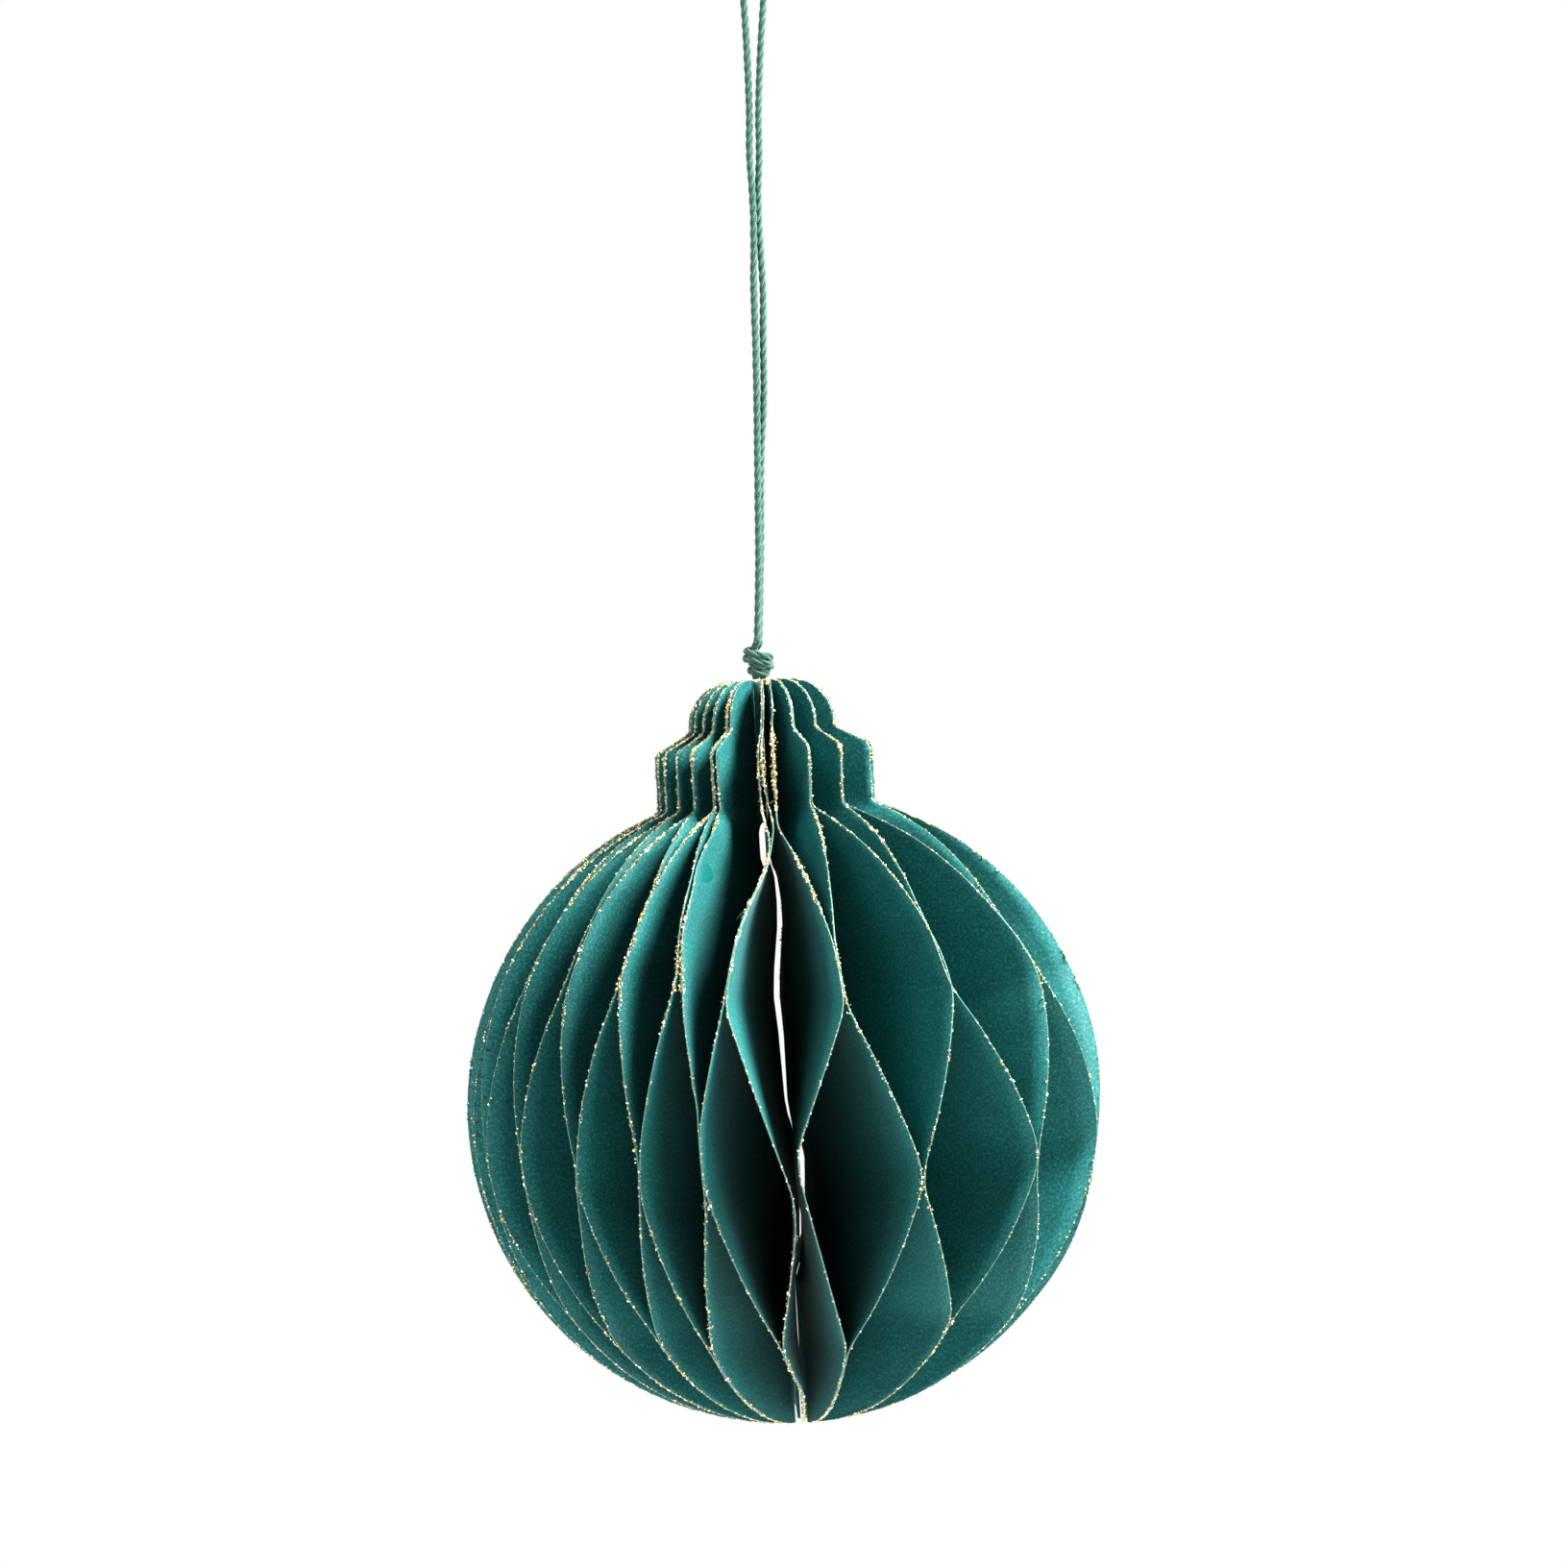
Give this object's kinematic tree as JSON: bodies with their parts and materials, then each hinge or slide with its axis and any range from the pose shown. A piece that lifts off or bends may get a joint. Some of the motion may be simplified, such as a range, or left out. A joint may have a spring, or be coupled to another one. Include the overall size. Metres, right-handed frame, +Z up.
{
  "type": "paper honeycomb ball",
  "caption": "Hanging ball of glued paper leaves with a stepped neck, opened out into honeycomb cells, on a doubled cord tied in a knot.",
  "frame": {"origin": "the inside top of the cord's loop, where a hook bears; the ball hangs below it", "axes": "+Z up along the cord; -Y is the front, the middle of the wide cells; the spine leans 3.3 degrees from Z in the XZ plane"},
  "size_m": [0.0999, 0.1, 0.2321],
  "materials": {
    "paper": "deep green-blue paper, fine grain, with glitter on its outer edge",
    "cord": "soft twisted cotton cord",
    "pad": "double-sided adhesive foam"
  },
  "bodies": {
    "hanger": {"hanging_cord": "cord"},
    "knot": {"cord_knot": "cord"},
    "leaf_01": {"leaf_01": "paper"},
    "leaf_02": {"leaf_02": "paper"},
    "leaf_03": {"leaf_03": "paper"},
    "leaf_04": {"leaf_04": "paper"},
    "leaf_05": {"leaf_05": "paper"},
    "leaf_06": {"leaf_06": "paper"},
    "leaf_07": {"leaf_07": "paper"},
    "leaf_08": {"leaf_08": "paper"},
    "leaf_09": {"leaf_09": "paper"},
    "leaf_10": {"leaf_10": "paper"},
    "leaf_11": {"leaf_11": "paper"},
    "leaf_12": {"leaf_12": "paper"},
    "leaf_13": {"leaf_13": "paper"},
    "leaf_14": {"leaf_14": "paper"},
    "leaf_15": {"leaf_15": "paper"},
    "leaf_16": {"leaf_16": "paper"},
    "leaf_17": {"leaf_17": "paper"},
    "leaf_18": {"leaf_18": "paper"},
    "leaf_19": {"leaf_19": "paper"},
    "leaf_20": {"leaf_20": "paper"},
    "leaf_21": {"leaf_21": "paper"},
    "leaf_22": {"leaf_22": "paper"},
    "leaf_23": {"leaf_23": "paper"},
    "leaf_24": {"leaf_24": "paper"},
    "leaf_25": {"leaf_25": "paper", "cord_tail": "cord"},
    "leaf_26": {"leaf_26": "paper"},
    "leaf_27": {"leaf_27": "paper"},
    "leaf_28": {"leaf_28": "paper"},
    "leaf_29": {"leaf_29": "paper"},
    "leaf_30": {"leaf_30": "paper"},
    "leaf_31": {"leaf_31": "paper"},
    "leaf_32": {"leaf_32": "paper"},
    "leaf_33": {"leaf_33": "paper"},
    "leaf_34": {"leaf_34": "paper"},
    "leaf_35": {"leaf_35": "paper"},
    "leaf_36": {"leaf_36": "paper"},
    "leaf_37": {"leaf_37": "paper"},
    "leaf_38": {"leaf_38": "paper"},
    "leaf_39": {"leaf_39": "paper"},
    "leaf_40": {"leaf_40": "paper"},
    "leaf_41": {"leaf_41": "paper"},
    "leaf_42": {"leaf_42": "paper", "closing_pads": "pad"}
  },
  "joints": [
    {"name": "twist", "type": "hinge", "parent": "hanger", "child": "knot", "pos_m": [0.0009, 0, -0.10805], "axis": [0, 0, 1], "range_deg": [-180, 180]},
    {"name": "sway", "type": "hinge", "parent": "knot", "child": "leaf_25", "pos_m": [0.0009, 0, -0.1109], "axis": [0, 1, 0], "range_deg": [-30, 30]},
    {"name": "fold", "type": "hinge", "parent": "leaf_25", "child": "leaf_24", "pos_m": [0.00473, -0.00229, -0.18095], "axis": [-0.0576, 0, 0.9983], "range_deg": [0, 10.5]},
    {"name": "fold_leaf_23", "type": "hinge", "parent": "leaf_24", "child": "leaf_23", "pos_m": [0.00394, -0.00426, -0.18099], "axis": [-0.0576, 0, 0.9983], "range_deg": [0, 5.5]},
    {"name": "fold_leaf_22", "type": "hinge", "parent": "leaf_23", "child": "leaf_22", "pos_m": [0.00353, -0.00414, -0.18101], "axis": [-0.0576, 0, 0.9983], "range_deg": [0, 5.5]},
    {"name": "fold_leaf_21", "type": "hinge", "parent": "leaf_22", "child": "leaf_21", "pos_m": [0.00328, -0.00365, -0.18103], "axis": [-0.0576, 0, 0.9983], "range_deg": [0, 6]},
    {"name": "fold_leaf_20", "type": "hinge", "parent": "leaf_21", "child": "leaf_20", "pos_m": [0.00291, -0.00346, -0.18105], "axis": [-0.0576, 0, 0.9983], "range_deg": [0, 6]},
    {"name": "fold_leaf_19", "type": "hinge", "parent": "leaf_20", "child": "leaf_19", "pos_m": [0.00287, -0.00275, -0.18105], "axis": [-0.0576, 0, 0.9983], "range_deg": [0, 7]},
    {"name": "fold_leaf_18", "type": "hinge", "parent": "leaf_19", "child": "leaf_18", "pos_m": [0.00194, -0.00319, -0.18111], "axis": [-0.0576, 0, 0.9983], "range_deg": [0, 5.5]},
    {"name": "fold_leaf_17", "type": "hinge", "parent": "leaf_18", "child": "leaf_17", "pos_m": [0.00233, -0.00223, -0.18108], "axis": [-0.0576, 0, 0.9983], "range_deg": [0, 7]},
    {"name": "fold_leaf_16", "type": "hinge", "parent": "leaf_17", "child": "leaf_16", "pos_m": [0.00133, -0.00246, -0.18114], "axis": [-0.0576, 0, 0.9983], "range_deg": [0, 5.5]},
    {"name": "fold_leaf_15", "type": "hinge", "parent": "leaf_16", "child": "leaf_15", "pos_m": [0.00168, -0.00175, -0.18112], "axis": [-0.0576, 0, 0.9983], "range_deg": [0, 6.5]},
    {"name": "fold_leaf_14", "type": "hinge", "parent": "leaf_15", "child": "leaf_14", "pos_m": [0.00089, -0.00166, -0.18117], "axis": [-0.0576, 0, 0.9983], "range_deg": [0, 5.5]},
    {"name": "fold_leaf_13", "type": "hinge", "parent": "leaf_14", "child": "leaf_13", "pos_m": [0.0011, -0.00114, -0.18116], "axis": [-0.0576, 0, 0.9983], "range_deg": [0, 6]},
    {"name": "fold_leaf_12", "type": "hinge", "parent": "leaf_13", "child": "leaf_12", "pos_m": [0.00065, -0.00082, -0.18118], "axis": [-0.0576, 0, 0.9983], "range_deg": [0, 5.5]},
    {"name": "fold_leaf_11", "type": "hinge", "parent": "leaf_12", "child": "leaf_11", "pos_m": [0.00095, -0.00035, -0.18116], "axis": [-0.0576, 0, 0.9983], "range_deg": [0, 6]},
    {"name": "fold_leaf_10", "type": "hinge", "parent": "leaf_11", "child": "leaf_10", "pos_m": [0.00233, 0.00012, -0.18108], "axis": [-0.0576, 0, 0.9983], "range_deg": [0, 9.2]},
    {"name": "fold_leaf_09", "type": "hinge", "parent": "leaf_10", "child": "leaf_09", "pos_m": [0.00238, 0.00054, -0.18108], "axis": [-0.0576, 0, 0.9983], "range_deg": [0, 9.2]},
    {"name": "fold_leaf_08", "type": "hinge", "parent": "leaf_09", "child": "leaf_08", "pos_m": [0.0025, 0.00094, -0.18107], "axis": [-0.0576, 0, 0.9983], "range_deg": [0, 9.2]},
    {"name": "fold_leaf_07", "type": "hinge", "parent": "leaf_08", "child": "leaf_07", "pos_m": [0.00268, 0.00132, -0.18106], "axis": [-0.0576, 0, 0.9983], "range_deg": [0, 9.2]},
    {"name": "fold_leaf_06", "type": "hinge", "parent": "leaf_07", "child": "leaf_06", "pos_m": [0.00292, 0.00166, -0.18105], "axis": [-0.0576, 0, 0.9983], "range_deg": [0, 9.2]},
    {"name": "fold_leaf_05", "type": "hinge", "parent": "leaf_06", "child": "leaf_05", "pos_m": [0.00321, 0.00196, -0.18103], "axis": [-0.0576, 0, 0.9983], "range_deg": [0, 9.2]},
    {"name": "fold_leaf_04", "type": "hinge", "parent": "leaf_05", "child": "leaf_04", "pos_m": [0.00355, 0.00222, -0.18101], "axis": [-0.0576, 0, 0.9983], "range_deg": [0, 9.2]},
    {"name": "fold_leaf_03", "type": "hinge", "parent": "leaf_04", "child": "leaf_03", "pos_m": [0.00392, 0.00241, -0.18099], "axis": [-0.0576, 0, 0.9983], "range_deg": [0, 9.2]},
    {"name": "fold_leaf_02", "type": "hinge", "parent": "leaf_03", "child": "leaf_02", "pos_m": [0.00431, 0.00254, -0.18097], "axis": [-0.0576, 0, 0.9983], "range_deg": [0, 9.2]},
    {"name": "fold_leaf_01", "type": "hinge", "parent": "leaf_02", "child": "leaf_01", "pos_m": [0.00451, 0.00397, -0.18096], "axis": [-0.0576, 0, 0.9983], "range_deg": [0, 9.2]},
    {"name": "fold_leaf_26", "type": "hinge", "parent": "leaf_25", "child": "leaf_26", "pos_m": [0.00515, -0.002, -0.18092], "axis": [0.0576, 0, -0.9983], "range_deg": [0, 12]},
    {"name": "fold_leaf_27", "type": "hinge", "parent": "leaf_26", "child": "leaf_27", "pos_m": [0.00553, -0.00176, -0.1809], "axis": [0.0576, 0, -0.9983], "range_deg": [0, 13]},
    {"name": "fold_leaf_28", "type": "hinge", "parent": "leaf_27", "child": "leaf_28", "pos_m": [0.00605, -0.00189, -0.18087], "axis": [0.0576, 0, -0.9983], "range_deg": [0, 11]},
    {"name": "fold_leaf_29", "type": "hinge", "parent": "leaf_28", "child": "leaf_29", "pos_m": [0.00596, -0.00105, -0.18087], "axis": [0.0576, 0, -0.9983], "range_deg": [0, 16.5]},
    {"name": "fold_leaf_30", "type": "hinge", "parent": "leaf_29", "child": "leaf_30", "pos_m": [0.00679, -0.00116, -0.18083], "axis": [0.0576, 0, -0.9983], "range_deg": [0, 11]},
    {"name": "fold_leaf_31", "type": "hinge", "parent": "leaf_30", "child": "leaf_31", "pos_m": [0.00629, -0.00044, -0.18086], "axis": [0.0576, 0, -0.9983], "range_deg": [0, 17]},
    {"name": "fold_leaf_32", "type": "hinge", "parent": "leaf_31", "child": "leaf_32", "pos_m": [0.00694, -0.00012, -0.18082], "axis": [0.0576, 0, -0.9983], "range_deg": [0, 12]},
    {"name": "fold_leaf_33", "type": "hinge", "parent": "leaf_32", "child": "leaf_33", "pos_m": [0.00767, 0.00033, -0.18078], "axis": [0.0576, 0, -0.9983], "range_deg": [0, 8.75]},
    {"name": "fold_leaf_34", "type": "hinge", "parent": "leaf_33", "child": "leaf_34", "pos_m": [0.00758, 0.00074, -0.18078], "axis": [0.0576, 0, -0.9983], "range_deg": [0, 8.75]},
    {"name": "fold_leaf_35", "type": "hinge", "parent": "leaf_34", "child": "leaf_35", "pos_m": [0.00744, 0.00114, -0.18079], "axis": [0.0576, 0, -0.9983], "range_deg": [0, 8.75]},
    {"name": "fold_leaf_36", "type": "hinge", "parent": "leaf_35", "child": "leaf_36", "pos_m": [0.00724, 0.0015, -0.1808], "axis": [0.0576, 0, -0.9983], "range_deg": [0, 8.75]},
    {"name": "fold_leaf_37", "type": "hinge", "parent": "leaf_36", "child": "leaf_37", "pos_m": [0.00698, 0.00184, -0.18082], "axis": [0.0576, 0, -0.9983], "range_deg": [0, 8.75]},
    {"name": "fold_leaf_38", "type": "hinge", "parent": "leaf_37", "child": "leaf_38", "pos_m": [0.00668, 0.00213, -0.18083], "axis": [0.0576, 0, -0.9983], "range_deg": [0, 8.75]},
    {"name": "fold_leaf_39", "type": "hinge", "parent": "leaf_38", "child": "leaf_39", "pos_m": [0.00634, 0.00237, -0.18085], "axis": [0.0576, 0, -0.9983], "range_deg": [0, 8.75]},
    {"name": "fold_leaf_40", "type": "hinge", "parent": "leaf_39", "child": "leaf_40", "pos_m": [0.00596, 0.00255, -0.18087], "axis": [0.0576, 0, -0.9983], "range_deg": [0, 8.75]},
    {"name": "fold_leaf_41", "type": "hinge", "parent": "leaf_40", "child": "leaf_41", "pos_m": [0.00556, 0.00268, -0.1809], "axis": [0.0576, 0, -0.9983], "range_deg": [0, 8.75]},
    {"name": "fold_leaf_42", "type": "hinge", "parent": "leaf_41", "child": "leaf_42", "pos_m": [0.00537, 0.00417, -0.18091], "axis": [0.0576, 0, -0.9983], "range_deg": [0, 8.75]}
  ],
  "couplings": [
    {"joint": "fold_leaf_23", "follows": "fold", "ratio": 0.52381},
    {"joint": "fold_leaf_22", "follows": "fold", "ratio": 0.52381},
    {"joint": "fold_leaf_21", "follows": "fold", "ratio": 0.57143},
    {"joint": "fold_leaf_20", "follows": "fold", "ratio": 0.57143},
    {"joint": "fold_leaf_19", "follows": "fold", "ratio": 0.66667},
    {"joint": "fold_leaf_18", "follows": "fold", "ratio": 0.52381},
    {"joint": "fold_leaf_17", "follows": "fold", "ratio": 0.66667},
    {"joint": "fold_leaf_16", "follows": "fold", "ratio": 0.52381},
    {"joint": "fold_leaf_15", "follows": "fold", "ratio": 0.61905},
    {"joint": "fold_leaf_14", "follows": "fold", "ratio": 0.52381},
    {"joint": "fold_leaf_13", "follows": "fold", "ratio": 0.57143},
    {"joint": "fold_leaf_12", "follows": "fold", "ratio": 0.52381},
    {"joint": "fold_leaf_11", "follows": "fold", "ratio": 0.57143},
    {"joint": "fold_leaf_10", "follows": "fold", "ratio": 0.87619},
    {"joint": "fold_leaf_09", "follows": "fold", "ratio": 0.87619},
    {"joint": "fold_leaf_08", "follows": "fold", "ratio": 0.87619},
    {"joint": "fold_leaf_07", "follows": "fold", "ratio": 0.87619},
    {"joint": "fold_leaf_06", "follows": "fold", "ratio": 0.87619},
    {"joint": "fold_leaf_05", "follows": "fold", "ratio": 0.87619},
    {"joint": "fold_leaf_04", "follows": "fold", "ratio": 0.87619},
    {"joint": "fold_leaf_03", "follows": "fold", "ratio": 0.87619},
    {"joint": "fold_leaf_02", "follows": "fold", "ratio": 0.87619},
    {"joint": "fold_leaf_01", "follows": "fold", "ratio": 0.87619},
    {"joint": "fold_leaf_26", "follows": "fold", "ratio": 1.1429},
    {"joint": "fold_leaf_27", "follows": "fold", "ratio": 1.2381},
    {"joint": "fold_leaf_28", "follows": "fold", "ratio": 1.0476},
    {"joint": "fold_leaf_29", "follows": "fold", "ratio": 1.5714},
    {"joint": "fold_leaf_30", "follows": "fold", "ratio": 1.0476},
    {"joint": "fold_leaf_31", "follows": "fold", "ratio": 1.619},
    {"joint": "fold_leaf_32", "follows": "fold", "ratio": 1.1429},
    {"joint": "fold_leaf_33", "follows": "fold", "ratio": 0.83333},
    {"joint": "fold_leaf_34", "follows": "fold", "ratio": 0.83333},
    {"joint": "fold_leaf_35", "follows": "fold", "ratio": 0.83333},
    {"joint": "fold_leaf_36", "follows": "fold", "ratio": 0.83333},
    {"joint": "fold_leaf_37", "follows": "fold", "ratio": 0.83333},
    {"joint": "fold_leaf_38", "follows": "fold", "ratio": 0.83333},
    {"joint": "fold_leaf_39", "follows": "fold", "ratio": 0.83333},
    {"joint": "fold_leaf_40", "follows": "fold", "ratio": 0.83333},
    {"joint": "fold_leaf_41", "follows": "fold", "ratio": 0.83333},
    {"joint": "fold_leaf_42", "follows": "fold", "ratio": 0.83333}
  ]
}
